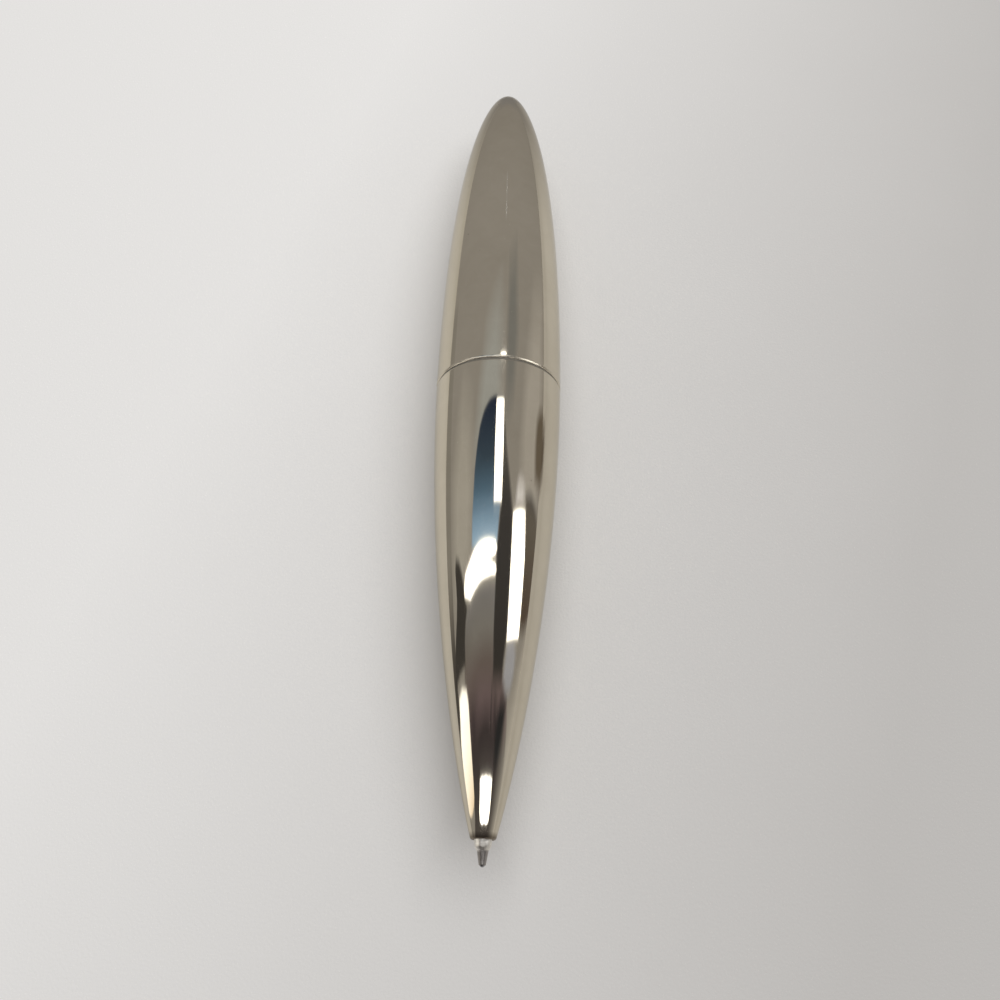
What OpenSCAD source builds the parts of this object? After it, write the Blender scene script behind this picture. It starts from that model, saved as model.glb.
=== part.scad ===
// Magnetic twist pen: a polished two-piece torpedo barrel that parts at the belly,
// with a twist mechanism, a sprung ballpoint refill and a magnet in the tail.
// The pen lies along Y on its belly: the writing tip points to -Y, the tail to +Y.
// Every sub-part is drawn around its own axis, with the nozzle rim at 0 and the
// tail end at body_len, and place() then lays it down.

/* [Barrel outline] */
// Length from the nozzle rim to the end of the tail
body_len = 121; // [118:0.5:130]
// Diameter at the widest point of the belly
belly_d = 18; // [17.6:0.1:20]
// Distance of the widest point from the nozzle rim
belly_at = 63.8; // [63:0.2:66]
// Outer diameter of the nozzle rim
nozzle_d = 3; // [2.9:0.05:3.4]
// Rise of the outline per unit of length where it leaves the nozzle
nose_taper = 0.285; // [0.27:0.005:0.31]
// Reach of the straight run behind the nozzle
nose_reach = 8.3; // [7:0.1:10]
// Reach of the flat run in front of the belly
front_reach = 31.2; // [29:0.2:33]
// Reach of the flat run behind the belly
rear_reach = 39.3; // [39:0.1:42]
// Bluntness of the tail
tail_blunt = 3.95; // [3.8:0.05:4.6]
// Wall thickness of both barrels
wall = 0.9; // [0.7:0.05:0.95]

/* [Seam] */
// Distance of the middle of the seam from the nozzle rim
seam_at = 61.2; // [61.2:0.1:61.4]
// Width of the gap between the two barrels
seam_gap = 0.3; // [0.26:0.02:0.36]
// Rounding of the upper barrel's rim at the seam
rim_round_upper = 0.3; // [0.2:0.05:0.6]
// Rounding of the lower barrel's rim at the seam
rim_round_lower = 0.14; // [0.06:0.02:0.3]
// Depth of the seam washer below the polished surface
washer_depth = 0.38; // [0.3:0.02:0.6]

/* [Refill] */
// Overall length of the ballpoint refill
refill_len = 98.4; // [97.9:0.1:98.6]
// Length of the tip that stands out of the nozzle
tip_out = 3; // [2.6:0.1:3.4]
// Diameter of the refill's tube
refill_d = 5.9; // [5.7:0.05:5.95]
// Diameter of the tip's neck
neck_d = 2.3; // [2.2:0.02:2.34]
// Diameter of the writing ball
ball_d = 0.7; // [0.5:0.1:0.7]
// Bore of the nozzle
nozzle_bore = 2.5; // [2.46:0.02:2.56]

/* [Twist mechanism] */
// Turn of the upper barrel from writing to retracted, in degrees
twist = 150; // [120:5:155]
// Travel of the refill over that turn
travel = 4.4; // [3.8:0.1:4.6]
// Diameter of the cross pin
pin_d = 1.5; // [1.2:0.1:1.6]
// Clearance between the cross pin and the sides of its slots
pin_clear = 0.1; // [0.08:0.01:0.14]
// Diameter of the thread that carries the lower barrel
thread_d = 12; // [11:0.5:12.4]
// Diameter of the boss that the upper barrel turns on
boss_d = 13.5; // [13.2:0.1:13.8]
// Running clearance on radius of the parts that turn or slide
run = 0.05; // [0.03:0.01:0.08]

/* [Magnet] */
// Diameter of the rod magnet in the tail
magnet_d = 4; // [3:0.1:4]
// Length of the rod magnet
magnet_len = 6; // [4:0.5:6]
// Distance of the magnet's rear face from the nozzle rim
magnet_end = 117.2; // [116.4:0.1:117.2]

/* [Hidden] */
$fn = 96;
belly_r = belly_d / 2;
nozzle_r = nozzle_d / 2;
// the middle of the whole length, tip included, is the origin along Y
mid = (body_len - tip_out) / 2;

// cubic curve through its first and last value
function bz(a, b, c, d, t) =
    a * pow(1 - t, 3) + 3 * b * t * pow(1 - t, 2) + 3 * c * t * t * (1 - t) + d * pow(t, 3);
function bzd(a, b, c, d, t) =
    3 * (b - a) * pow(1 - t, 2) + 6 * (c - b) * t * (1 - t) + 3 * (d - c) * t * t;

// outline in front of the belly: distance and radius at t
function fs(t) = bz(0, nose_reach, belly_at - front_reach, belly_at, t);
function fr(t) = bz(nozzle_r, nozzle_r + nose_reach * nose_taper, belly_r, belly_r, t);
// outline behind the belly
function rs(t) = bz(belly_at, belly_at + rear_reach, body_len, body_len, t);
function rr(t) = bz(belly_r, belly_r, tail_blunt, 0, t);

// unit normal of each outline as [radial, axial]
function unit(v) = v / norm(v);
function fn_(t) = unit([bzd(0, nose_reach, belly_at - front_reach, belly_at, t),
    -bzd(nozzle_r, nozzle_r + nose_reach * nose_taper, belly_r, belly_r, t)]);
function rn_(t) = unit([bzd(belly_at, belly_at + rear_reach, body_len, body_len, t),
    -bzd(belly_r, belly_r, tail_blunt, 0, t)]);

// outline set in by a depth along its normal, as [radius, distance]
function fp(t, in = 0) = [fr(t), fs(t)] - in * fn_(t);
function rp(t, in = 0) = [max(0, rr(t) - in * rn_(t)[0]), rs(t) - in * rn_(t)[1]];

// t at a given distance, by halving
function ft(s, in = 0, lo = 0, hi = 1, n = 34) = n == 0 ? (lo + hi) / 2 :
    let (m = (lo + hi) / 2) fp(m, in)[1] < s ? ft(s, in, m, hi, n - 1) : ft(s, in, lo, m, n - 1);
function rt(s, in = 0, lo = 0, hi = 1, n = 34) = n == 0 ? (lo + hi) / 2 :
    let (m = (lo + hi) / 2) rp(m, in)[1] < s ? rt(s, in, m, hi, n - 1) : rt(s, in, lo, m, n - 1);
// radius at a given distance
function radius(s, in = 0) = s < belly_at ? fp(ft(s, in), in)[0] : rp(rt(s, in), in)[0];

seam_lo = seam_at - seam_gap / 2;   // end face of the lower barrel
seam_hi = seam_at + seam_gap / 2;   // end face of the upper barrel
// true cylinder at the belly, for a pen loop
band_lo = max(belly_at - 1.8, seam_hi + rim_round_upper + 0.1);
band_hi = belly_at + 2.7;
front_band = seam_lo - 2.55;        // start of the short cylinder in front of the seam
facet_turn = 1.084;                 // turn of the upper barrel that lines its facets up with the lower one's
bore_r = nozzle_bore / 2;
spring_seat = 4.5;                  // step that the spring pushes on
chamber_r = 2;                      // chamber around the spring
neck_r = neck_d / 2;
tube_r = refill_d / 2;
ball_r = ball_d / 2;
ball_at = ball_r - tip_out;         // centre of the writing ball
refill_end = refill_len - tip_out;  // rear face of the refill
tube_nose = 9.4;                    // front face of the refill's tube
thread_r = thread_d / 2;
boss_r = boss_d / 2;
pin_r = pin_d / 2;
pin_at = refill_end + 1.8;          // cross pin, in the writing position
plunger_end = pin_at + 1.7;
guide_in = 4.25;                    // guide tube, inner and outer radius
guide_out = 4.85;
cam_in = 3.6;                       // cam sleeve, inner and outer radius
cam_out = 4.15;
guide_end = pin_at + travel + 1.8;  // rear end of the guide tube
cam_end = guide_end + 1.4;          // rear face of the cam sleeve's flange
plug_end = cam_end + 4.2;           // rear face of the drive plug
magnet_r = magnet_d / 2;
bush_front = 53;
flange_lo = seam_at - 0.45;
flange_hi = seam_at + 0.25;
flange_r = 7.6;
socket_at = 67;                     // where the guide tube seats in the bush
ring_groove = 69.25;                // groove of the retaining ring
bush_end = 71;
liner_end = 69.1;

// height of a coil after u turns, with one closed turn at each end
function coil_at(u, turns, tight, lo, hi) = u < 1 ? lo + tight * u :
    u > turns - 1 ? hi - tight * (turns - u) :
    lo + tight + (hi - lo - 2 * tight) * (u - 1) / (turns - 2);

// lays a sub-part down on its belly
module place() translate([0, -mid, belly_r]) rotate([-90, 0, 0]) children();

// turned shape from points given as [radius, distance]
module lathe(points) rotate_extrude() polygon(points);

// plain ring between two radii and two distances
module ring(r_in, r_out, from, to) lathe([[r_in, from], [r_out, from], [r_out, to], [r_in, to]]);

// round bar along the axis
module bar(r, from, to) translate([0, 0, from]) cylinder(r = r, h = to - from);

// flat-sided slot through a tube along X, from one centre to another
module cross_slot(width, from, to, reach) {
    translate([-reach, -width / 2, from]) cube([2 * reach, width, to - from]);
    for (s = [from, to]) translate([-reach, 0, s]) rotate([0, 90, 0]) cylinder(d = width, h = 2 * reach);
}

// band that winds up a tube: angles from a0 to a1 in degrees, rising with the lead
module winding_cut(r0, r1, half, a0, a1, s0, rise_per_deg, steps = 44) {
    angles = [for (i = [0:steps]) a0 + (a1 - a0) * i / steps];
    corners = [for (a = angles) let (s = s0 + rise_per_deg * a)
        each [[r0 * cos(a), r0 * sin(a), s - half], [r1 * cos(a), r1 * sin(a), s - half],
              [r1 * cos(a), r1 * sin(a), s + half], [r0 * cos(a), r0 * sin(a), s + half]]];
    sides = [for (i = [0:steps - 1]) for (k = [0:3])
        [4 * i + k, 4 * i + (k + 1) % 4, 4 * (i + 1) + (k + 1) % 4, 4 * (i + 1) + k]];
    polyhedron(corners, concat(sides, [[3, 2, 1, 0], [for (k = [0:3]) 4 * steps + k]]), convexity = 8);
}

// polished front half of the barrel, from the nozzle to the seam
module lower_barrel() color([0.78, 0.75, 0.70]) place() {
    lip = (nozzle_r - bore_r) / 2;
    t0 = ft(lip);
    t1 = ft(seam_lo - rim_round_lower);
    i0 = ft(spring_seat + 1.3, wall);
    i1 = ft(seam_lo - 0.01, wall);
    n = 30;
    lathe(concat(
        [for (a = [180:30:330]) [bore_r + lip + lip * cos(a), lip + lip * sin(a)]],
        [for (i = [0:n - 1]) let (p = fp(t0 + (t1 - t0) * i / n)) if (p[1] < front_band - 1) p],
        [[belly_r, front_band]],
        [for (a = [0:18:90]) [belly_r - rim_round_lower * (1 - cos(a)), seam_lo - rim_round_lower * (1 - sin(a))]],
        [[radius(seam_lo - 0.01, wall), seam_lo]],
        [for (i = [n:-1:0]) let (p = fp(i0 + (i1 - i0) * i / n, wall)) [max(chamber_r, p[0]), p[1]]],
        [[chamber_r, spring_seat + 0.6], [chamber_r, spring_seat], [bore_r, spring_seat]]
    ));
}

// polished rear half of the barrel, from the seam to the closed tail
module upper_barrel() color([0.78, 0.75, 0.70]) place() rotate([0, 0, facet_turn]) {
    edge = radius(seam_hi + rim_round_upper);
    t0 = rt(band_hi + 1);
    n = 34;
    lathe(concat(
        [for (a = [0:15:90]) [edge - rim_round_upper * (1 - sin(a)), seam_hi + rim_round_upper * (1 - cos(a))]],
        [[belly_r, band_lo], [belly_r, band_hi]],
        [for (i = [0:n]) rp(t0 + (1 - t0) * i / n)],
        [for (i = [n:-1:0]) rp(i / n, wall)],
        [[radius(seam_hi + 0.5, wall), seam_hi]]
    ));
}

// thin dark washer set back in the seam
module seam_washer() color([0.06, 0.06, 0.065]) place()
    ring(flange_r + 0.04, radius(seam_at) - washer_depth, seam_lo + 0.05, seam_hi - 0.05);

// brass collar inside the lower barrel that screws on the bush
module threaded_collar() color([0.78, 0.62, 0.30]) place() {
    b = thread_r + run;
    lathe([
        [b + 0.4, 52.5], [radius(52.5, wall) - 0.32, 52.5], [radius(52.8, wall) - 0.02, 52.8],
        [radius(56.5, wall) - 0.02, 56.5], [radius(flange_lo - 0.15, wall) - 0.02, flange_lo - 0.15],
        [b + 0.4, flange_lo - 0.15], [b, flange_lo - 0.55], [b, 52.9]
    ]);
}

// moulded ring inside the lower barrel that keeps the refill central
module refill_guide() color([0.16, 0.16, 0.17]) place() difference() {
    lathe([
        [tube_r + 0.65, 30], [radius(30, wall) - 0.25, 30], [radius(30.4, wall) - 0.03, 30.4],
        [radius(33.5, wall) - 0.03, 33.5], [radius(37, wall) - 0.03, 37],
        [tube_r + 0.65, 37], [tube_r + 0.25, 36.6], [tube_r + 0.25, 30.4]
    ]);
    for (a = [0:60:300]) rotate(a) translate([4.75, 0, 29]) cylinder(r = 0.8, h = 9);
}

// brass bush at the belly: thread in front, flange at the seam, bearing boss behind
module centre_bush() color([0.78, 0.62, 0.30]) place() lathe([
    [tube_r + 0.65, bush_front], [thread_r - 0.5, bush_front], [thread_r, bush_front + 0.5],
    [thread_r, flange_lo - 1.1], [thread_r - 0.5, flange_lo - 0.8], [thread_r - 0.5, flange_lo],
    [flange_r, flange_lo], [flange_r, flange_hi], [boss_r, flange_hi],
    [boss_r, 64.2], [boss_r - 0.75, 64.2], [boss_r - 0.75, 65.9], [boss_r, 65.9],
    [boss_r, ring_groove], [boss_r - 0.55, ring_groove], [boss_r - 0.55, ring_groove + 0.7],
    [boss_r, ring_groove + 0.7], [boss_r, bush_end - 0.4], [boss_r - 0.4, bush_end],
    [guide_out + 0.3, bush_end], [guide_out + 0.02, bush_end - 0.3], [guide_out + 0.02, socket_at],
    [tube_r + 0.25, socket_at], [tube_r + 0.25, bush_front + 0.4]
]);

// rubber ring that drags lightly in the liner, so the pen stays where it is turned
module friction_o_ring() color([0.05, 0.05, 0.05]) place()
    rotate_extrude() translate([boss_r - 0.35, 65.05]) circle(r = 0.37, $fn = 48);

// spring-steel clip behind the liner that keeps the upper barrel on the bush
module retaining_ring() color([0.42, 0.42, 0.44]) place() difference() {
    union() {
        difference() {
            ring(boss_r - 0.53, boss_r + 0.5, ring_groove + 0.04, ring_groove + 0.66);
            translate([0, 0, ring_groove - 1]) linear_extrude(3)
                polygon([[0, 0], [10, -4.2], [10, 4.2]]);
        }
        for (a = [-27, 27]) rotate(a) translate([boss_r + 0.2, 0, 0])
            bar(0.7, ring_groove + 0.04, ring_groove + 0.66);
    }
    for (a = [-27, 27]) rotate(a) translate([boss_r + 0.25, 0, 0])
        bar(0.32, ring_groove - 1, ring_groove + 2);
    bar(boss_r - 0.53, ring_groove - 1, ring_groove + 2);
}

// brass tube fixed in the bush, with straight slots that stop the cross pin from turning
module guide_tube() color([0.78, 0.62, 0.30]) place() difference() {
    lathe([
        [guide_in, socket_at], [guide_out - 0.2, socket_at], [guide_out, socket_at + 0.2],
        [guide_out, guide_end - 0.2], [guide_out - 0.2, guide_end], [guide_in, guide_end]
    ]);
    cross_slot(pin_d + 2 * pin_clear, pin_at - 0.1, pin_at + travel + 0.1, 8);
}

// sleeve pressed into the upper barrel, which turns on the bush
module upper_liner() color([0.70, 0.70, 0.68]) place() {
    b = boss_r + run;
    lathe([
        [b + 0.3, flange_hi + 0.1], [radius(flange_hi + 0.4, wall) - 0.3, flange_hi + 0.1],
        [radius(flange_hi + 0.4, wall) - 0.03, flange_hi + 0.4],
        [radius(liner_end, wall) - 0.03, liner_end - 0.3], [radius(liner_end, wall) - 0.3, liner_end],
        [b + 0.2, liner_end], [b, liner_end - 0.2], [b, flange_hi + 0.4]
    ]);
}

// sleeve that turns with the upper barrel: its two winding slots drive the cross pin
module cam_sleeve() color([0.86, 0.84, 0.78]) place() {
    slope = atan(travel * 360 / twist / (PI * (cam_in + cam_out)));
    half = (pin_r + pin_clear) / cos(slope);
    over = 13;
    difference() {
        lathe([
            [cam_in, 90], [cam_out - 0.2, 90], [cam_out, 90.2], [cam_out, guide_end + 0.2],
            [guide_out - 0.15, guide_end + 0.2], [guide_out, guide_end + 0.35], [guide_out, cam_end],
            [0, cam_end], [0, guide_end + 0.4], [cam_in, guide_end + 0.4]
        ]);
        for (a = [0, 180]) rotate(a)
            winding_cut(cam_in - 0.5, cam_out + 0.5, half, -twist - over, over, pin_at, -travel / twist);
    }
    drive_stem(1.9, 1.4, cam_end, cam_end + 3.6);
}

// round stem with two flats
module drive_stem(r, flat, from, to) intersection() {
    bar(r, from, to);
    translate([-flat, -2 * r, from - 1]) cube([2 * flat, 4 * r, to - from + 2]);
}

// plug fixed in the tail of the upper barrel, which turns the cam sleeve by its flats
module drive_plug() color([0.70, 0.70, 0.68]) place() {
    lo = cam_end + 0.3;
    difference() {
        lathe(concat(
            [[0, lo], [radius(lo, wall) - 0.3, lo]],
            [for (i = [0:3]) let (s = lo + 0.25 + (plug_end - lo - 0.25) * i / 3) [radius(s, wall) - 0.03, s]],
            [[0, plug_end]]
        ));
        drive_stem(1.94, 1.44, lo - 1, cam_end + 3.8);
    }
}

// plated rod magnet close under the end of the tail
module magnet() color([0.72, 0.72, 0.74]) place() lathe([
    [0, magnet_end - magnet_len], [magnet_r - 0.2, magnet_end - magnet_len],
    [magnet_r, magnet_end - magnet_len + 0.2], [magnet_r, magnet_end - 0.2],
    [magnet_r - 0.2, magnet_end], [0, magnet_end]
]);

// moulded cup that holds the magnet in the tail
module magnet_holder() color([0.16, 0.16, 0.17]) place() {
    hi = magnet_end - 1.2;
    lathe(concat(
        [[0, plug_end], [radius(plug_end + 0.3, wall) - 0.3, plug_end]],
        [for (i = [0:6]) let (s = plug_end + 0.3 + (hi - plug_end - 0.3) * i / 6) [radius(s, wall) - 0.03, s]],
        [[magnet_r + 0.02, hi], [magnet_r + 0.02, magnet_end - magnet_len], [0, magnet_end - magnet_len]]
    ));
}

// cup that carries the rear end of the refill
module plunger() color([0.86, 0.84, 0.78]) place() difference() {
    lathe([
        [tube_r + 0.3, 88], [cam_in - 0.25, 88], [cam_in - 0.1, 88.15],
        [cam_in - 0.1, plunger_end - 0.4], [cam_in - 0.5, plunger_end], [0, plunger_end],
        [0, refill_end], [tube_r + 0.06, refill_end], [tube_r + 0.06, 88.3]
    ]);
    translate([-6, 0, pin_at]) rotate([0, 90, 0]) cylinder(r = pin_r + 0.01, h = 12);
}

// steel pin through the plunger, the cam sleeve and the guide tube
module cross_pin() color([0.55, 0.55, 0.57]) place() translate([0, 0, pin_at]) rotate([0, 90, 0]) {
    reach = guide_out - 0.05;
    rotate_extrude() polygon([[0, -reach], [pin_r - 0.15, -reach], [pin_r, -reach + 0.15],
        [pin_r, reach - 0.15], [pin_r - 0.15, reach], [0, reach]]);
}

// metal tube of the refill
module refill_tube() color([0.74, 0.74, 0.75]) place() lathe([
    [neck_r + 0.02, tube_nose], [1.72, tube_nose], [2.0, tube_nose + 0.5], [2.6, tube_nose + 2.2],
    [tube_r - 0.08, tube_nose + 3], [tube_r, tube_nose + 3.4], [tube_r, refill_end - 2.4],
    [tube_r - 0.35, refill_end - 2.4], [tube_r - 0.35, tube_nose + 3.8], [neck_r + 0.02, tube_nose + 3.8]
]);

// turned tip and neck of the refill, with the seat of the ball
module refill_tip() color([0.66, 0.64, 0.58]) place() {
    seat = ball_r + 0.01;
    lip = 0.37 * ball_r;
    difference() {
        lathe([
            [0, ball_at - lip], [seat + 0.02, ball_at - lip], [seat + 0.06, ball_at - lip + 0.08],
            [neck_r - 0.46, -1.2], [neck_r - 0.40, -1.12], [neck_r - 0.29, -0.98], [neck_r - 0.18, -0.75],
            [neck_r - 0.13, -0.45], [neck_r - 0.08, 0.05], [neck_r, 0.4], [neck_r, tube_nose - 0.5], [1.6, tube_nose - 0.5],
            [1.6, tube_nose], [neck_r, tube_nose], [neck_r, tube_nose + 3.6], [0, tube_nose + 3.6]
        ]);
        translate([0, 0, ball_at]) sphere(r = seat);
        bar(0.3, ball_at, tube_nose + 5);
    }
}

// carbide ball that rolls in its seat
module writing_ball() color([0.45, 0.45, 0.47]) place() translate([0, 0, ball_at]) sphere(r = ball_r);

// moulded rear plug of the refill, with a vent and notches
module refill_plug() color([0.30, 0.31, 0.33]) place() difference() {
    lathe([
        [0, refill_end - 6], [tube_r - 0.5, refill_end - 6], [tube_r - 0.37, refill_end - 5.8],
        [tube_r - 0.37, refill_end - 2.4], [tube_r, refill_end - 2.4], [tube_r, refill_end], [0, refill_end]
    ]);
    bar(0.5, refill_end - 7, refill_end + 1);
    for (a = [0, 60, 120]) rotate(a) translate([-5, -0.4, refill_end - 1]) cube([10, 0.8, 2]);
}

// column of ink in the refill's tube
module ink() color([0.03, 0.03, 0.10]) place() bar(tube_r - 0.37, tube_nose + 4, 82);

// coil spring around the neck, pressed together in the writing position
module spring() color([0.62, 0.62, 0.64]) place() {
    wire = 0.15;
    coil_r = 1.55;
    lo = spring_seat + 0.03 + wire;
    hi = tube_nose - 0.54 - wire;
    turns = 7;
    tight = 0.32;
    per = 18;
    sides = 6;
    n = turns * per;
    points = [for (i = [0:n]) for (k = [0:sides - 1]) let (a = 360 * i / per, b = 360 * k / sides)
        [(coil_r + wire * cos(b)) * cos(a), (coil_r + wire * cos(b)) * sin(a), coil_at(i / per, turns, tight, lo, hi) + wire * sin(b)]];
    walls = [for (i = [0:n - 1]) for (k = [0:sides - 1])
        [sides * i + k, sides * (i + 1) + k, sides * (i + 1) + (k + 1) % sides, sides * i + (k + 1) % sides]];
    polyhedron(points, concat(walls, [[for (k = [0:sides - 1]) k], [for (k = [sides - 1:-1:0]) sides * n + k]]),
        convexity = 12);
}

lower_barrel();
upper_barrel();
seam_washer();
threaded_collar();
refill_guide();
centre_bush();
friction_o_ring();
retaining_ring();
guide_tube();
upper_liner();
cam_sleeve();
drive_plug();
magnet();
magnet_holder();
plunger();
cross_pin();
refill_tube();
refill_tip();
writing_ball();
refill_plug();
ink();
spring();
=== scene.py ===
"""Finished look of a polished twist pen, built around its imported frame.

All lengths in the tables are millimetres along the pen (0 at the nozzle rim, 121 at the end of the
tail) and millimetres of radius; put() lays them down in the frame, in metres.
"""

import math

import bpy
from mathutils import Matrix, Vector


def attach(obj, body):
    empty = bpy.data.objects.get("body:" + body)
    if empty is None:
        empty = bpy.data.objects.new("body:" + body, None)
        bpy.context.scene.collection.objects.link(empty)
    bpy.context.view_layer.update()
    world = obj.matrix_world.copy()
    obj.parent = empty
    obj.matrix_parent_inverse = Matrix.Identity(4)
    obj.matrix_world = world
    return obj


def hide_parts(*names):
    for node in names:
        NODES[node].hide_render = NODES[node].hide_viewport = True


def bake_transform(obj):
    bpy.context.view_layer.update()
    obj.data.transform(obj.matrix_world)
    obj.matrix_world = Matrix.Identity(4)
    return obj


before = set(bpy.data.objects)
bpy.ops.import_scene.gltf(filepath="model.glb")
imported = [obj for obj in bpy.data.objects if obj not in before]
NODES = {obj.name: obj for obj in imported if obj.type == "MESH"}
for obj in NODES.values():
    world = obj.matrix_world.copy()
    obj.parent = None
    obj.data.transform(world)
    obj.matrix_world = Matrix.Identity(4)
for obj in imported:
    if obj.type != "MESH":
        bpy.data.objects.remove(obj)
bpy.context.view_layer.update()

TAU = 2 * math.pi
MM = 0.001
MID = 59.0      # distance of the origin from the nozzle rim
AXIS_Z = 9.0    # height of the pen's axis

scene = bpy.context.scene
scene.view_settings.view_transform = "Standard"
scene.view_settings.look = "None"
scene.view_settings.exposure = 0.0
scene.view_settings.gamma = 1.0


# ------------------------------------------------------------------ camera

def make_camera():
    data = bpy.data.cameras.new("camera")
    data.sensor_fit = "HORIZONTAL"
    data.sensor_width = 36.0
    data.lens = 33.012
    data.clip_start, data.clip_end = 0.005, 20.0
    cam = bpy.data.objects.new("camera", data)
    scene.collection.objects.link(cam)
    right = Vector((0.9996, 0.02833, 0.0)).normalized()
    ahead = Vector((-0.01227, 0.43303, -0.90129)).normalized()
    up = right.cross(ahead).normalized()
    place = Matrix((right, up, -ahead)).transposed().to_4x4()
    place.translation = Vector((0.002271, -0.069526, 0.12241))
    cam.matrix_world = place
    scene.camera = cam
    return cam


make_camera()


# ------------------------------------------------------------------ outline of the barrel

def bez(a, b, c, d, t):
    u = 1 - t
    return a * u ** 3 + 3 * b * t * u * u + 3 * c * t * t * u + d * t ** 3


def bez_d(a, b, c, d, t):
    u = 1 - t
    return 3 * (b - a) * u * u + 6 * (c - b) * t * u + 3 * (d - c) * t * t


LENGTH, BELLY_R, BELLY_AT, NOZZLE_R, WALL = 121.0, 9.0, 63.8, 1.5, 0.9
FRONT_S = (0.0, 8.3, BELLY_AT - 31.2, BELLY_AT)
FRONT_R = (NOZZLE_R, NOZZLE_R + 8.3 * 0.285, BELLY_R, BELLY_R)
REAR_S = (BELLY_AT, BELLY_AT + 39.3, LENGTH, LENGTH)
REAR_R = (BELLY_R, BELLY_R, 3.95, 0.0)


def outline(curve, t, depth=0.0):
    """(radius, distance) on the front or the rear curve, set in along its normal."""
    s4, r4 = curve
    ds, dr = bez_d(*s4, t), bez_d(*r4, t)
    n = math.hypot(ds, dr) or 1.0
    return bez(*r4, t) - depth * ds / n, bez(*s4, t) + depth * dr / n


FRONT, REAR = (FRONT_S, FRONT_R), (REAR_S, REAR_R)


def t_at(curve, s, depth=0.0):
    lo, hi = 0.0, 1.0
    for _ in range(60):
        m = (lo + hi) / 2
        if outline(curve, m, depth)[1] < s:
            lo = m
        else:
            hi = m
    return (lo + hi) / 2


def radius(s, depth=0.0):
    curve = FRONT if s < BELLY_AT else REAR
    return outline(curve, t_at(curve, s, depth), depth)[0]


def run_of(curve, t0, t1, count, depth=0.0):
    return [outline(curve, t0 + (t1 - t0) * i / count, depth) for i in range(count + 1)]


def arc(cr, cs, rad, a0, a1, count):
    """Points of a circle in the section; the angle runs from +radius towards +distance."""
    out = []
    for i in range(count + 1):
        a = math.radians(a0 + (a1 - a0) * i / count)
        out.append((cr + rad * math.cos(a), cs + rad * math.sin(a)))
    return out


def soft_corners(points, cut, closed=True, steps=3):
    """Rounds the corners of a section a little, as turning and tumbling leave them."""
    out, n = [], len(points)
    for i, p in enumerate(points):
        if not closed and i in (0, n - 1):
            out.append(p)
            continue
        a, b = points[i - 1], points[(i + 1) % n]
        la, lb = math.dist(a, p), math.dist(b, p)
        if p[0] < 1e-6 or la < 1e-6 or lb < 1e-6:
            out.append(p)
            continue
        ua = ((a[0] - p[0]) / la, (a[1] - p[1]) / la)
        ub = ((b[0] - p[0]) / lb, (b[1] - p[1]) / lb)
        if ua[0] * ub[0] + ua[1] * ub[1] < -0.97:
            out.append(p)
            continue
        c = min(cut, 0.4 * la, 0.4 * lb)
        p0 = (p[0] + ua[0] * c, p[1] + ua[1] * c)
        p1 = (p[0] + ub[0] * c, p[1] + ub[1] * c)
        for k in range(steps + 1):
            t = k / steps
            u = 1 - t
            out.append((u * u * p0[0] + 2 * u * t * p[0] + t * t * p1[0],
                        u * u * p0[1] + 2 * u * t * p[1] + t * t * p1[1]))
    return out


# ------------------------------------------------------------------ mesh building

def put(r, a, s):
    return Vector((r * math.cos(a) * MM, (s - MID) * MM, (AXIS_Z + r * math.sin(a)) * MM))


def finish_mesh(name, verts, faces, sharp_deg):
    mesh = bpy.data.meshes.new(name)
    mesh.from_pydata([tuple(v) for v in verts], [], faces)
    mesh.validate()
    mesh.update()
    volume = 0.0
    for p in mesh.polygons:
        v0 = mesh.vertices[p.vertices[0]].co
        for k in range(1, len(p.vertices) - 1):
            v1 = mesh.vertices[p.vertices[k]].co
            v2 = mesh.vertices[p.vertices[k + 1]].co
            volume += v0.dot(v1.cross(v2))
    if volume < 0:
        mesh.flip_normals()
    for p in mesh.polygons:
        p.use_smooth = True
    mesh.set_sharp_from_angle(angle=math.radians(sharp_deg))
    ob = bpy.data.objects.new(name, mesh)
    scene.collection.objects.link(ob)
    return ob


def lathe(name, section, segments=160, closed=True, sharp_deg=32.0, swell=None):
    """Turned mesh from a section of (radius, distance). A closed section is a loop off the axis; an
    open one starts and ends on the axis. swell(i, angle, r, s) may move a point's radius."""
    verts, rings, faces = [], [], []
    for i, (r, s) in enumerate(section):
        if r < 1e-6:
            rings.append([len(verts)])
            verts.append(put(0, 0, s))
            continue
        ring = []
        for k in range(segments):
            a = TAU * k / segments
            ring.append(len(verts))
            verts.append(put(swell(i, a, r, s) if swell else r, a, s))
        rings.append(ring)
    pairs = [(i, i + 1) for i in range(len(rings) - 1)]
    if closed:
        pairs.append((len(rings) - 1, 0))
    for i, j in pairs:
        p, q = rings[i], rings[j]
        if len(p) == 1 and len(q) == 1:
            continue
        for k in range(segments):
            n = (k + 1) % segments
            if len(p) == 1:
                faces.append((p[0], q[n], q[k]))
            elif len(q) == 1:
                faces.append((p[k], p[n], q[0]))
            else:
                faces.append((p[k], p[n], q[n], q[k]))
    return finish_mesh(name, verts, faces, sharp_deg)


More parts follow.
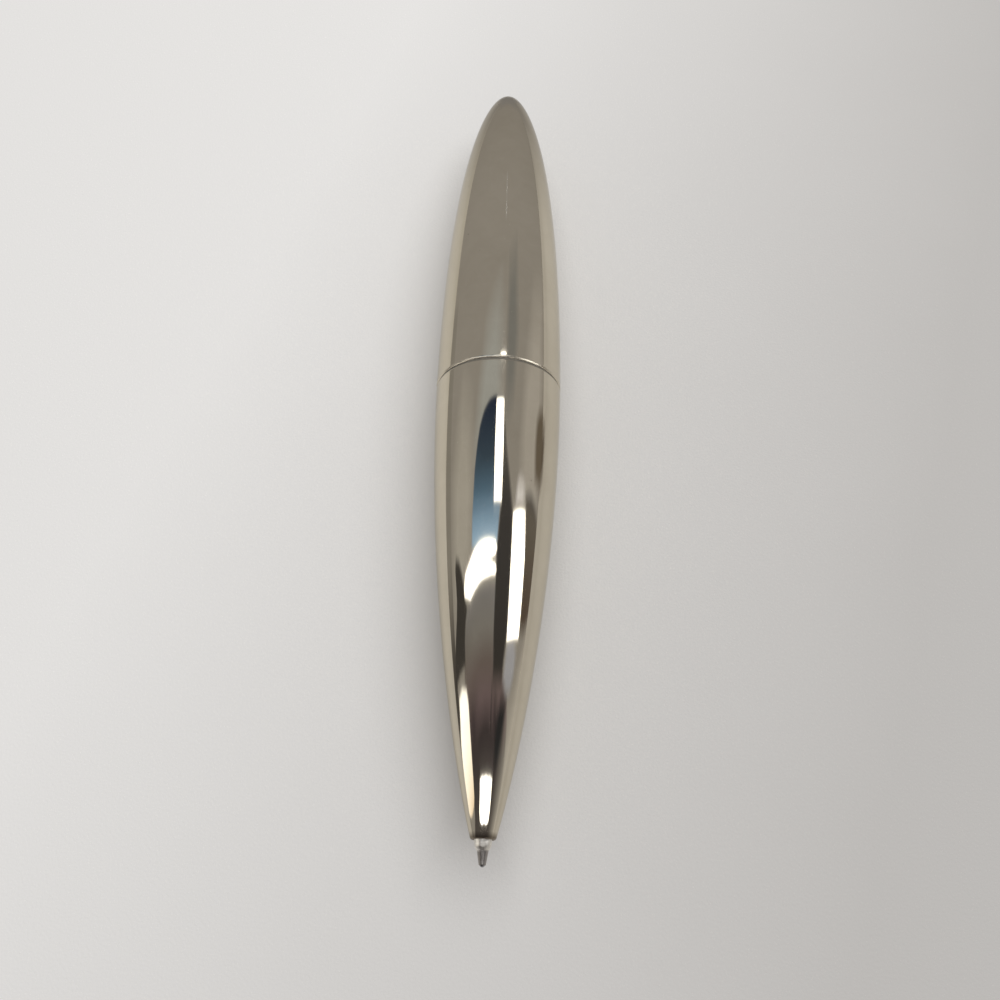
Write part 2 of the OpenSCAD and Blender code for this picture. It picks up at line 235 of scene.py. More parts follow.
def tube_along(name, path, rad, sides=14, sharp_deg=50.0):
    """Round wire along a path of points, with domed ends."""
    verts, faces, rings = [], [], []
    n = len(path)
    up = Vector((0, 1, 0))
    for i, p in enumerate(path):
        ahead = (path[min(i + 1, n - 1)] - path[max(i - 1, 0)]).normalized()
        side = ahead.cross(up).normalized()
        over = side.cross(ahead).normalized()
        ring = []
        for k in range(sides):
            a = TAU * k / sides
            ring.append(len(verts))
            verts.append(p + rad * (math.cos(a) * side + math.sin(a) * over))
        rings.append(ring)
    for p, q in zip(rings, rings[1:]):
        for k in range(sides):
            m = (k + 1) % sides
            faces.append((p[k], p[m], q[m], q[k]))
    for ring, p, d in ((rings[0], path[0], (path[0] - path[1]).normalized()),
                       (rings[-1], path[-1], (path[-1] - path[-2]).normalized())):
        tip = len(verts)
        verts.append(p + d * rad * 0.35)
        for k in range(sides):
            m = (k + 1) % sides
            faces.append((ring[m], ring[k], tip) if ring is rings[0] else (ring[k], ring[m], tip))
    return finish_mesh(name, verts, faces, sharp_deg)


# ------------------------------------------------------------------ materials

class Tree:
    """Small helper that adds nodes to a new material."""

    def __init__(self, name):
        self.mat = bpy.data.materials.new(name)
        self.mat.use_nodes = True
        self.nodes, self.links = self.mat.node_tree.nodes, self.mat.node_tree.links
        self.nodes.clear()
        self.out = self.nodes.new("ShaderNodeOutputMaterial")
        self.shader = self.nodes.new("ShaderNodeBsdfPrincipled")
        self.links.new(self.shader.outputs[0], self.out.inputs[0])
        self.coord = self.nodes.new("ShaderNodeTexCoord").outputs["Object"]

    def set(self, **values):
        for k, v in values.items():
            self.shader.inputs[k.replace("_", " ")].default_value = v

    def to(self, socket, source):
        self.links.new(source, self.shader.inputs[socket])

    def stretch(self, scale, move=(0, 0, 0), turn=(0, 0, 0)):
        n = self.nodes.new("ShaderNodeMapping")
        n.inputs["Scale"].default_value = scale
        n.inputs["Location"].default_value = move
        n.inputs["Rotation"].default_value = turn
        self.links.new(self.coord, n.inputs["Vector"])
        return n.outputs[0]

    def noise(self, scale, detail=3.0, rough=0.55, vector=None, distortion=0.0):
        n = self.nodes.new("ShaderNodeTexNoise")
        n.inputs["Scale"].default_value = scale
        n.inputs["Detail"].default_value = detail
        n.inputs["Roughness"].default_value = rough
        n.inputs["Distortion"].default_value = distortion
        self.links.new(vector or self.coord, n.inputs["Vector"])
        return n.outputs["Fac"]

    def cells(self, scale, vector=None, randomness=1.0):
        n = self.nodes.new("ShaderNodeTexVoronoi")
        n.inputs["Scale"].default_value = scale
        n.inputs["Randomness"].default_value = randomness
        self.links.new(vector or self.coord, n.inputs["Vector"])
        return n.outputs["Distance"]

    def wave(self, scale, vector=None, distortion=0.0, axis="Y", detail=2.0, detail_scale=1.0):
        n = self.nodes.new("ShaderNodeTexWave")
        n.wave_type, n.bands_direction, n.wave_profile = "BANDS", axis, "SIN"
        n.inputs["Scale"].default_value = scale
        n.inputs["Distortion"].default_value = distortion
        n.inputs["Detail"].default_value = detail
        n.inputs["Detail Scale"].default_value = detail_scale
        self.links.new(vector or self.coord, n.inputs["Vector"])
        return n.outputs["Fac"]

    def ramp(self, source, *stops):
        n = self.nodes.new("ShaderNodeValToRGB")
        e = n.color_ramp.elements
        while len(e) < len(stops):
            e.new(0.5)
        for k, (pos, value) in enumerate(stops):
            e[k].position = pos
            e[k].color = (value, value, value, 1) if not isinstance(value, tuple) else (*value, 1)
        self.links.new(source, n.inputs[0])
        return n.outputs[0]

    def math(self, kind, a, b):
        n = self.nodes.new("ShaderNodeMath")
        n.operation = kind
        for i, v in enumerate((a, b)):
            if isinstance(v, (int, float)):
                n.inputs[i].default_value = v
            else:
                self.links.new(v, n.inputs[i])
        return n.outputs[0]

    def mix(self, fac, a, b, kind="MIX"):
        n = self.nodes.new("ShaderNodeMix")
        n.data_type, n.blend_type = "RGBA", kind
        for name, v in (("Factor", fac), ("A", a), ("B", b)):
            socket = next(s for s in n.inputs if s.name == name and (s.type == "RGBA" or name == "Factor" and s.type == "VALUE"))
            if isinstance(v, tuple):
                socket.default_value = (*v, 1)
            elif isinstance(v, (int, float)):
                socket.default_value = v
            else:
                self.links.new(v, socket)
        return next(s for s in n.outputs if s.type == "RGBA")

    def bump(self, height, strength, distance):
        n = self.nodes.new("ShaderNodeBump")
        n.inputs["Strength"].default_value = strength
        n.inputs["Distance"].default_value = distance
        self.links.new(height, n.inputs["Height"])
        self.links.new(n.outputs[0], self.shader.inputs["Normal"])


def polished_nickel(name):
    """Mirror-polished warm nickel with a thin haze, hair scratches along the barrel, a few pits, and painted shade
    darkening the nozzle's lip.
    """
    t = Tree(name)
    t.set(Metallic=1.0, Specular_Tint=(0.76, 0.75, 0.73, 1.0))
    haze = t.noise(150, 4.0, 0.6)
    cloud = t.noise(48, 3.0, 0.5)
    hair = t.ramp(t.noise(1.0, 2.0, 0.5, t.stretch((5200, 90, 5200))), (0.0, 0.0), (0.74, 0.0), (0.80, 1.0))
    cross = t.ramp(t.noise(1.0, 2.0, 0.5, t.stretch((700, 3600, 700), turn=(0.3, 0.2, 0.5))), (0.0, 0.0), (0.74, 0.0), (0.80, 1.0))
    pits = t.ramp(t.cells(620), (0.0, 1.0), (0.055, 1.0), (0.075, 0.0))
    pits = t.math("MULTIPLY", pits, t.ramp(t.noise(210, 1.0), (0.0, 0.0), (0.60, 0.0), (0.66, 1.0)))
    smudge = t.noise(360, 4.0, 0.65, distortion=0.6)
    colour = t.ramp(t.math("ADD", t.math("MULTIPLY", cloud, 0.6), t.math("MULTIPLY", smudge, 0.4)), (0.34, (0.645, 0.585, 0.470)), (0.66, (0.715, 0.655, 0.535)))
    colour = t.mix(t.math("MULTIPLY", hair, 0.30), colour, (0.86, 0.83, 0.76))
    split = t.nodes.new("ShaderNodeSeparateXYZ")
    t.links.new(t.coord, split.inputs[0])
    aside = t.math("ABSOLUTE", t.math("SUBTRACT", t.math("ADD", split.outputs["X"], t.math("MULTIPLY", split.outputs["Y"], 0.007)), 0.00065), 0.0)
    along = t.math("ABSOLUTE", t.math("SUBTRACT", split.outputs["Y"], 0.0326), 0.0)
    scratch = t.math("MULTIPLY", t.ramp(t.math("MULTIPLY", aside, 8000.0), (0.30, 1.0), (0.95, 0.0)), t.ramp(t.math("MULTIPLY", along, 170.0), (0.70, 1.0), (0.95, 0.0)))
    scratch = t.math("MULTIPLY", t.math("MULTIPLY", scratch, t.ramp(t.noise(700, 2.0), (0.35, 0.35), (0.60, 1.0))), t.math("GREATER_THAN", split.outputs["Z"], 0.009))
    colour = t.mix(t.math("MULTIPLY", scratch, 0.60), colour, (0.92, 0.87, 0.78))
    colour = t.mix(t.math("MULTIPLY", pits, 0.75), colour, (0.16, 0.13, 0.10))
    # painted shade: the polish's colour darkens over the last millimetre at the nozzle's lip, standing in for the dark
    # the lip reflects
    lip = t.ramp(t.math("MULTIPLY", t.math("ADD", split.outputs["Y"], 0.0592), 500.0), (0.22, 1.0), (0.52, 0.0))
    colour = t.mix(t.math("MULTIPLY", lip, 0.80), colour, (0.12, 0.09, 0.065))
    t.to("Base Color", colour)
    rough = t.math("ADD", t.math("MULTIPLY", t.ramp(haze, (0.35, 0.0), (0.75, 1.0)), 0.030), 0.040)
    rough = t.math("ADD", rough, t.math("MULTIPLY", hair, 0.05))
    rough = t.math("ADD", rough, t.math("MULTIPLY", cross, 0.03))
    rough = t.math("ADD", rough, t.math("MULTIPLY", scratch, 0.30))
    rim = t.math("ABSOLUTE", t.math("SUBTRACT", split.outputs["Y"], 0.00252), 0.0)
    rough = t.math("ADD", rough, t.math("MULTIPLY", t.ramp(t.math("MULTIPLY", rim, 2000.0), (0.30, 1.0), (0.55, 0.0)), 0.22))
    rough = t.math("ADD", rough, t.math("MULTIPLY", pits, 0.30))
    t.to("Roughness", rough)
    height = t.math("SUBTRACT", t.math("MULTIPLY", t.noise(620, 2.0), 0.10), t.math("MULTIPLY", hair, 0.10))
    height = t.math("SUBTRACT", height, pits)
    t.bump(height, 0.05, 0.00004)
    return t.mat


def turned_metal(name, dark, light, rough=0.26, lines=2600, line_bump=0.25):
    """Lathe-turned metal: fine rings round the axis, tarnish in clouds, bright and dull places."""
    t = Tree(name)
    t.set(Metallic=1.0)
    rings = t.wave(lines, distortion=1.2, detail=3.0, detail_scale=2.0)
    cloud = t.noise(260, 4.0, 0.6)
    fine = t.noise(1900, 3.0, 0.6)
    t.to("Base Color", t.ramp(cloud, (0.28, dark), (0.72, light)))
    t.to("Roughness", t.math("ADD", t.math("MULTIPLY", fine, 0.16), rough - 0.06))
    t.bump(t.math("ADD", rings, t.math("MULTIPLY", fine, 0.4)), line_bump, 0.00002)
    return t.mat


def drawn_metal(name, dark, light, rough=0.22):
    """Drawn tube or wire: long fine streaks along the pen."""
    t = Tree(name)
    t.set(Metallic=1.0)
    streak = t.noise(1.0, 4.0, 0.6, t.stretch((4200, 70, 4200)))
    cloud = t.noise(220, 3.0, 0.5)
    t.to("Base Color", t.mix(t.math("MULTIPLY", streak, 0.6), t.ramp(cloud, (0.3, dark), (0.7, light)), light, "MULTIPLY"))
    t.to("Roughness", t.math("ADD", t.math("MULTIPLY", streak, 0.18), rough - 0.08))
    t.bump(streak, 0.2, 0.00002)
    return t.mat


def moulded(name, dark, light, rough=0.42, bump=0.25):
    """Moulded plastic: faint mottling, fine spark-eroded grain, slight gloss changes."""
    t = Tree(name)
    cloud = t.noise(190, 4.0, 0.6)
    grain = t.noise(5200, 3.0, 0.6)
    t.to("Base Color", t.ramp(cloud, (0.30, dark), (0.70, light)))
    t.to("Roughness", t.math("ADD", t.math("MULTIPLY", t.noise(700, 3.0), 0.16), rough - 0.08))
    t.bump(grain, bump, 0.00003)
    return t.mat


def rubber(name):
    t = Tree(name)
    cloud = t.noise(420, 4.0, 0.6)
    bloom = t.ramp(t.noise(1300, 3.0), (0.45, 0.0), (0.75, 1.0))
    t.to("Base Color", t.mix(t.math("MULTIPLY", bloom, 0.35), t.ramp(cloud, (0.3, (0.014, 0.014, 0.015)), (0.7, (0.030, 0.030, 0.031))), (0.075, 0.074, 0.072)))
    t.to("Roughness", t.math("ADD", t.math("MULTIPLY", cloud, 0.20), 0.42))
    t.bump(t.noise(3800, 3.0), 0.3, 0.00003)
    return t.mat


def ink_paste(name):
    t = Tree(name)
    t.set(IOR=1.48)
    cloud = t.noise(300, 4.0, 0.6, distortion=0.8)
    t.to("Base Color", t.ramp(cloud, (0.25, (0.006, 0.007, 0.030)), (0.75, (0.016, 0.020, 0.075))))
    t.to("Roughness", t.math("ADD", t.math("MULTIPLY", cloud, 0.12), 0.06))
    t.bump(cloud, 0.2, 0.00010)
    return t.mat


def tip_metal(name):
    """Turned nickel silver, darker towards the ball: dried ink there, and painted shade."""
    t = Tree(name)
    t.set(Metallic=1.0)
    rings = t.wave(5200, distortion=0.8, detail=2.0)
    cloud = t.noise(900, 3.0, 0.6)
    base = t.ramp(cloud, (0.30, (0.70, 0.67, 0.60)), (0.70, (0.86, 0.83, 0.77)))
    split = t.nodes.new("ShaderNodeSeparateXYZ")
    t.links.new(t.coord, split.inputs[0])
    # darker towards the ball: partly dried ink, partly painted shade standing in for the dark the cone reflects
    ink_and_painted_shade = t.ramp(t.math("ADD", t.math("MULTIPLY", t.math("ADD", split.outputs["Y"], 0.0603), 2500.0), t.math("MULTIPLY", cloud, 0.5)),
                   (0.20, 1.0), (0.80, 0.0))
    t.to("Base Color", t.mix(t.math("MULTIPLY", ink_and_painted_shade, 0.80), base, (0.235, 0.215, 0.205)))
    t.to("Roughness", t.math("ADD", t.math("MULTIPLY", cloud, 0.20), 0.28))
    t.bump(rings, 0.12, 0.00001)
    return t.mat


NICKEL = polished_nickel("polished_nickel")
BRASS = turned_metal("turned_brass", (0.50, 0.34, 0.12), (0.76, 0.56, 0.24), 0.24)
SEAM = moulded("seam_black", (0.120, 0.110, 0.090), (0.175, 0.162, 0.135), 0.45)
BLACK = moulded("black_plastic", (0.020, 0.020, 0.022), (0.045, 0.045, 0.048), 0.50)
IVORY = moulded("ivory_plastic", (0.66, 0.60, 0.48), (0.78, 0.73, 0.62), 0.40)
GREY = moulded("grey_plastic", (0.13, 0.14, 0.155), (0.20, 0.21, 0.225), 0.42)
LINER = turned_metal("liner_metal", (0.58, 0.58, 0.57), (0.74, 0.74, 0.73), 0.28)
SPRING = drawn_metal("spring_steel", (0.42, 0.42, 0.43), (0.62, 0.62, 0.63), 0.24)
PIN = turned_metal("pin_steel", (0.46, 0.46, 0.47), (0.62, 0.62, 0.63), 0.22, 3400)
REFILL = drawn_metal("refill_steel", (0.56, 0.56, 0.57), (0.72, 0.72, 0.73), 0.20)
TIP = tip_metal("tip_metal")
BALL = turned_metal("ball_carbide", (0.26, 0.26, 0.27), (0.42, 0.42, 0.43), 0.16, 9000, 0.1)
MAGNET = turned_metal("magnet_plating", (0.60, 0.59, 0.57), (0.74, 0.73, 0.70), 0.18, 900, 0.06)
RUBBER = rubber("black_rubber")
INK = ink_paste("ink_paste")


def dress(ob, mat):
    ob.data.materials.clear()
    ob.data.materials.append(mat)


def piece(ob, body, slot, mat, *nodes):
    dress(ob, mat)
    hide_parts(*nodes)
    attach(ob, body)
    return ob


# ------------------------------------------------------------------ the two barrels

SEAM_LO, SEAM_HI = 61.05, 61.35
BORE_R, SEAT, CHAMBER_R = 1.25, 4.5, 2.0


def lower_section():
    lip = (NOZZLE_R - BORE_R) / 2
    round_ = 0.14
    s1 = SEAM_LO - round_
    edge = radius(s1)
    out = arc(BORE_R + lip, lip, lip, 180, 350, 9)
    out += run_of(FRONT, t_at(FRONT, lip), t_at(FRONT, s1 - 0.03), 150)
    out += arc(edge - round_, s1, round_, 0, 90, 7)
    out += [(radius(SEAM_LO - 0.01, WALL) + 0.1, SEAM_LO)]
    inner = run_of(FRONT, t_at(FRONT, SEAM_LO - 0.1, WALL), t_at(FRONT, SEAT + 1.3, WALL), 60, WALL)
    out += [(max(CHAMBER_R, r), s) for r, s in inner]
    out += [(CHAMBER_R, SEAT + 0.6), (CHAMBER_R, SEAT + 0.05), (CHAMBER_R - 0.05, SEAT), (BORE_R + 0.05, SEAT), (BORE_R, SEAT - 0.05)]
    return out


def upper_section():
    crown, tilt, corner = 0.6, 28.0, 0.05
    s0 = SEAM_HI + corner + crown * math.sin(math.radians(tilt))
    edge = radius(s0)
    low_r = edge - crown * (1 - math.cos(math.radians(tilt)))
    out = [(low_r - corner, SEAM_HI), (low_r - 0.3 * corner, SEAM_HI + 0.3 * corner)]
    for i in range(11):
        a = math.radians(tilt * (1 - i / 10))
        out.append((edge - crown * (1 - math.cos(a)), s0 - crown * math.sin(a)))
    out += run_of(FRONT, t_at(FRONT, s0), 1.0, 12)[1:]
    out += run_of(REAR, 0.0, 1.0, 170)[1:]
    out[-1] = (0.0, LENGTH)
    return out


def upper_inside():
    out = run_of(REAR, 1.0, 0.0, 70, WALL)
    out[0] = (0.0, LENGTH - WALL)
    out += [(radius(s, WALL), s) for s in (63.2, 62.6, 62.0)]
    out += [(radius(61.9, WALL) + 0.02, SEAM_HI + 0.06), (radius(61.9, WALL) + 0.08, SEAM_HI)]
    return out


def upper_shell():
    """Outer skin from the rim to the end of the tail, then the inner skin back to the rim."""
    outer, inner = upper_section(), upper_inside()
    verts, faces, rings = [], [], []
    seg = 224
    for r, s in outer + inner:
        if r < 1e-6:
            rings.append([len(verts)])
            verts.append(put(0, 0, s))
        else:
            rings.append(list(range(len(verts), len(verts) + seg)))
            verts += [put(r, TAU * k / seg, s) for k in range(seg)]
    n_out = len(outer)
    pairs = [(i, i + 1) for i in range(len(rings) - 1) if i != n_out - 1] + [(len(rings) - 1, 0)]
    for i, j in pairs:
        p, q = rings[i], rings[j]
        for k in range(seg):
            n = (k + 1) % seg
            if len(p) == 1:
                faces.append((p[0], q[n], q[k]))
            elif len(q) == 1:
                faces.append((p[k], p[n], q[0]))
            else:
                faces.append((p[k], p[n], q[n], q[k]))
    return finish_mesh("upper_barrel_skin", verts, faces, 40)


lower = piece(lathe("lower_barrel_skin", lower_section(), 224, sharp_deg=40), "lower", "polished_barrel", NICKEL, "lower_barrel")
upper = piece(upper_shell(), "upper", "polished_barrel", NICKEL, "upper_barrel")

seam_r = radius(61.2) - 0.12
washer = lathe("seam_ring", soft_corners([(7.64, 61.08), (seam_r, 61.08), (seam_r, 61.33), (7.64, 61.33)], 0.04), 160)
piece(washer, "core", "seam_black", SEAM, "seam_washer")


# ------------------------------------------------------------------ refill

def smooth_run(points, per=5):
    """Catmull-Rom curve through the points of a section."""
    out = []
    for i in range(len(points) - 1):
        p0, p1, p2, p3 = points[max(i - 1, 0)], points[i], points[i + 1], points[min(i + 2, len(points) - 1)]
        for k in range(per):
            t = k / per
            out.append(tuple(0.5 * (2 * p1[j] + (p2[j] - p0[j]) * t + (2 * p0[j] - 5 * p1[j] + 4 * p2[j] - p3[j]) * t * t
                                    + (3 * p1[j] - p0[j] - 3 * p2[j] + p3[j]) * t ** 3) for j in (0, 1)))
    out.append(points[-1])
    return out


BALL_R, BALL_AT, NECK_R, TUBE_R, TUBE_NOSE = 0.35, -2.65, 1.15, 2.95, 9.4


def tip_section():
    seat, lip = BALL_R + 0.01, 0.37 * BALL_R
    s_lip = BALL_AT - lip
    cup0 = math.degrees(math.asin(-lip / seat))
    cup1 = math.degrees(math.acos(0.30 / seat))
    out = [(seat + 0.015, s_lip), (seat + 0.035, s_lip + 0.02), (seat + 0.06, s_lip + 0.09)]
    out += [(NECK_R - 0.47, -1.22)]
    out += smooth_run([(NECK_R - 0.45, -1.18), (NECK_R - 0.40, -1.12), (NECK_R - 0.29, -0.98), (NECK_R - 0.18, -0.75),
                       (NECK_R - 0.13, -0.45), (NECK_R - 0.08, 0.05), (NECK_R, 0.40)], 6)
    out += soft_corners([(NECK_R, 0.5), (NECK_R, TUBE_NOSE - 0.5), (1.6, TUBE_NOSE - 0.5), (1.6, TUBE_NOSE), (NECK_R, TUBE_NOSE),
                         (NECK_R, TUBE_NOSE + 3.6), (0.3, TUBE_NOSE + 3.6)], 0.08, closed=False)
    out += list(reversed(arc(0.0, BALL_AT, seat, cup0, cup1, 12)))
    return out


def tube_section():
    n = TUBE_NOSE
    front = smooth_run([(1.72, n + 0.06), (1.80, n + 0.16), (2.0, n + 0.5), (2.32, n + 1.4), (2.6, n + 2.2), (TUBE_R - 0.08, n + 3.0), (TUBE_R, n + 3.4)], 5)
    out = [(NECK_R + 0.02, n), (1.66, n)] + front
    for s in (16.2, 17.4):                                     # two rolled grooves that grip the tip's tail
        out += [(TUBE_R, s - 0.45)] + [(TUBE_R - 0.09 * math.cos(math.radians(a)) ** 2, s + 0.4 * a / 90) for a in range(-90, 91, 18)] + [(TUBE_R, s + 0.45)]
    out += [(TUBE_R, 91.0), (TUBE_R, 92.8), (TUBE_R - 0.06, 92.96), (TUBE_R - 0.12, 93.0), (TUBE_R - 0.35, 93.0)]
    out += [(TUBE_R - 0.35, n + 3.9), (TUBE_R - 0.45, n + 3.8), (NECK_R + 0.02, n + 3.8)]
    return out


piece(lathe("refill_tip_turned", tip_section(), 96, sharp_deg=38), "refill", "tip_metal", TIP, "refill_tip")
piece(lathe("refill_tube_drawn", tube_section(), 128, sharp_deg=38), "refill", "refill_steel", REFILL, "refill_tube")


def coil_at(u, turns, tight, lo, hi):
    if u < 1:
        return lo + tight * u
    if u > turns - 1:
        return hi - tight * (turns - u)
    return lo + tight + (hi - lo - 2 * tight) * (u - 1) / (turns - 2)


def make_spring():
    turns, per = 7, 56
    wire, coil = 0.15, 1.55
    lo, hi = SEAT + 0.03 + wire, TUBE_NOSE - 0.54 - wire
    path = []
    for i in range(turns * per + 1):
        u = i / per
        a = TAU * u
        path.append(put(coil, -a, coil_at(u, turns, 0.32, lo, hi)))
    return tube_along("spring_coil", path, wire * MM)


spring = make_spring()
dress(spring, SPRING)
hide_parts("spring")
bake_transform(spring)


# ------------------------------------------------------------------ thread at the belly

PITCH = 0.75


def thread_rows(lo, hi, crest, depth, outward):
    """Rows of a helical V thread between two distances, and the function that gives its radius."""
    step = PITCH / 12
    n = int(round((hi - lo) / step))
    rows = [(crest, lo + (hi - lo) * i / n) for i in range(n + 1)]

    def shape(a, s):
        ph = ((s - lo) / PITCH - a / TAU) % 1.0
        v = abs(2 * ph - 1)                                   # 1 at the crest, 0 in the root
        v = min(1.0, max(0.0, (v - 0.10) / 0.76))             # flats on the crest and in the root
        fade = min(1.0, (s - lo) / (0.8 * PITCH), (hi - s) / (0.8 * PITCH))
        cut = depth * (1 - v) * max(0.0, fade)
        return crest + cut if outward else crest - cut

    return rows, shape


def bush():
    lo, hi = 53.55, 59.6
    rows, shape = thread_rows(lo, hi, 6.0, 0.38, False)
    head = [(3.6, 53.0), (5.45, 53.0), (5.55, 53.05), (5.98, 53.5)]
    tail = soft_corners([(6.0, 59.62), (5.5, 59.95), (5.5, 60.75), (7.6, 60.75), (7.6, 61.45), (6.75, 61.45),
                         (6.75, 64.2), (6.0, 64.2), (6.0, 65.9), (6.75, 65.9), (6.75, 69.25), (6.2, 69.25), (6.2, 69.95), (6.75, 69.95),
                         (6.75, 70.6), (6.35, 71.0), (5.15, 71.0), (4.87, 70.7), (4.87, 67.0), (3.2, 67.0), (3.2, 53.4)], 0.06, closed=False)
    first, last = len(head), len(head) + len(rows) - 1

    def swell(i, a, r, s):
        return shape(a, s) if first <= i <= last else r

    return lathe("centre_bush_threaded", head + rows + tail, 144, sharp_deg=30, swell=swell)


def collar():
    lo, hi = 53.0, 60.1
    rows, shape = thread_rows(lo, hi, 6.05, 0.38, True)
    end = 60.6
    outer = soft_corners([(6.45, end), (radius(end, WALL) - 0.02, end), (radius(56.5, WALL) - 0.02, 56.5),
                          (radius(52.8, WALL) - 0.02, 52.8), (radius(52.5, WALL) - 0.32, 52.5), (6.45, 52.5)], 0.06, closed=False)
    first, last = 1, len(rows)

    def swell(i, a, r, s):
        return shape(a, s) if first <= i <= last else r

    section = [(6.05, 52.9)] + rows + [(6.05, 60.2)] + outer
    return lathe("threaded_collar_cut", section, 144, sharp_deg=30, swell=swell)


piece(bush(), "core", "brass", BRASS, "centre_bush")
piece(collar(), "lower", "brass", BRASS, "threaded_collar")


# ------------------------------------------------------------------ nodes that keep their own shape

for node, mat in {
    "refill_guide": BLACK, "friction_o_ring": RUBBER, "retaining_ring": SPRING, "guide_tube": BRASS,
    "upper_liner": LINER, "cam_sleeve": IVORY, "drive_plug": LINER, "magnet": MAGNET, "magnet_holder": BLACK,
    "plunger": IVORY, "cross_pin": PIN, "refill_plug": GREY, "ink": INK, "writing_ball": BALL,
}.items():
    ob = NODES[node]
    dress(ob, mat)
    for p in ob.data.polygons:
        p.use_smooth = True
    ob.data.set_sharp_from_angle(angle=math.radians(32))


# ------------------------------------------------------------------ floor and light

def left_edge(y):
    """How far to the left the floor shows in the polish."""
    return -0.052 - 0.043 * min(1.0, max(0.0, (y + 0.06) / 0.16))


def floor():
    half = 2.5
    t = Tree("floor_pale")
    t.set(Roughness=0.85, Specular_IOR_Level=0.0)
    split = t.nodes.new("ShaderNodeSeparateXYZ")
    t.links.new(t.coord, split.inputs[0])
    # painted light: the floor's colour runs lighter to the left and towards the tail and darker to the right, standing
    # in for the fall of light across it; a faint mottle rides on top
    painted_light_falloff = t.math("ADD", t.math("MULTIPLY", split.outputs["X"], -4.4), t.math("MULTIPLY", split.outputs["Y"], 1.4))
    painted_light_falloff = t.math("ADD", painted_light_falloff, t.math("MULTIPLY", t.noise(30, 4.0, 0.6), 0.04))
    t.to("Base Color", t.ramp(t.math("ADD", painted_light_falloff, 0.48), (0.20, (0.570, 0.560, 0.545)), (0.72, (0.870, 0.866, 0.855))))
    t.bump(t.noise(2600, 2.0, 0.5), 0.25, 0.0002)
    edge = [(left_edge(y), y, 0.0) for y in (-half, -0.06, 0.10, half)]
    for name, side, seen in (("floor", half, True), ("floor_left", -half, False)):
        ends = [(side, y, 0.0) for _, y, _ in edge]
        mesh = bpy.data.meshes.new(name)
        mesh.from_pydata(edge + ends, [], [(k, k + 4, k + 5, k + 1) if seen else (k, k + 1, k + 5, k + 4) for k in range(3)])
        ob = bpy.data.objects.new(name, mesh)
        scene.collection.objects.link(ob)
        ob.visible_glossy = seen
        dress(ob, t.mat)


def blend_stops(stops, y):
    """Colour at a height y from (y, colour) stops that fall in y."""
    if y >= stops[0][0]:
        return stops[0][1]
    for (ya, ca), (yb, cb) in zip(stops, stops[1:]):
        if y >= yb:
            w = (ya - y) / (ya - yb)
            return tuple(ca[j] + (cb[j] - ca[j]) * w for j in range(len(ca)))
    return stops[-1][1]


def card(name, points, colours, strength=1.0, soft=0.12):
    """Curved light or flag that only mirrors see: its corners in centimetres, one colour or stops of (y, colour)
    where y is the part of the direction along the pen, and soft edges."""
    dirs, dist = [], []
    n = len(points)
    for k in range(n):
        a, b = Vector(points[k]), Vector(points[(k + 1) % n])
        parts = max(1, math.ceil(math.degrees(a.angle(b)) / 9))
        for i in range(parts):
            w = i / parts
            dirs.append(a.normalized().lerp(b.normalized(), w).normalized())
            dist.append((a.length + (b.length - a.length) * w) * 0.01)
    n = len(dirs)
    mid = sum(dirs, Vector()).normalized()
    mean_d = sum(dist) / n
    rounds = 10
    steps = [0.0, soft] + [soft + (1 - soft) * k / rounds for k in range(1, rounds)]
    verts, tones, faces = [], [], []

    def add(d, reach, alpha):
        verts.append(tuple(d * reach))
        c = blend_stops(colours, d.y) if isinstance(colours, list) else colours
        tones.append((*c, alpha))

    for w in steps:
        for k in range(n):
            add(dirs[k].lerp(mid, w).normalized(), dist[k] + (mean_d - dist[k]) * w, 0.0 if w == 0 else 1.0)
    top = len(verts)
    add(mid, mean_d, 1.0)
    for i in range(len(steps) - 1):
        for k in range(n):
            m = (k + 1) % n
            faces.append((i * n + k, i * n + m, (i + 1) * n + m, (i + 1) * n + k))
    last = (len(steps) - 1) * n
    faces += [(last + k, last + (k + 1) % n, top) for k in range(n)]
    return glow(name, verts, faces, tones, strength)


def glow(name, verts, faces, tones, strength=1.0):
    """Mesh that shines with its own tones, seen only by reflections and clear where a tone's fourth value is 0."""
    mesh = bpy.data.meshes.new(name)
    mesh.from_pydata(verts, [], faces)
    tone = mesh.attributes.new("tone", "FLOAT_COLOR", "POINT")
    for k, c in enumerate(tones):
        tone.data[k].color = c
    ob = bpy.data.objects.new(name, mesh)
    scene.collection.objects.link(ob)
    mat = bpy.data.materials.new(name)
    mat.use_nodes = True
    nodes, links = mat.node_tree.nodes, mat.node_tree.links
    nodes.clear()
    out = nodes.new("ShaderNodeOutputMaterial")
    blend = nodes.new("ShaderNodeMixShader")
    glow = nodes.new("ShaderNodeEmission")
    clear = nodes.new("ShaderNodeBsdfTransparent")
    tone_node = nodes.new("ShaderNodeAttribute")
    tone_node.attribute_name = "tone"
    glow.inputs["Strength"].default_value = strength
    links.new(tone_node.outputs["Color"], glow.inputs["Color"])
    links.new(tone_node.outputs["Alpha"], blend.inputs[0])
    links.new(clear.outputs[0], blend.inputs[1])
    links.new(glow.outputs[0], blend.inputs[2])
    links.new(blend.outputs[0], out.inputs[0])
    mat.cycles.emission_sampling = "NONE"
    mesh.materials.append(mat)
    ob.visible_camera = ob.visible_diffuse = ob.visible_shadow = False
    ob.visible_transmission = ob.visible_volume_scatter = False
    return ob


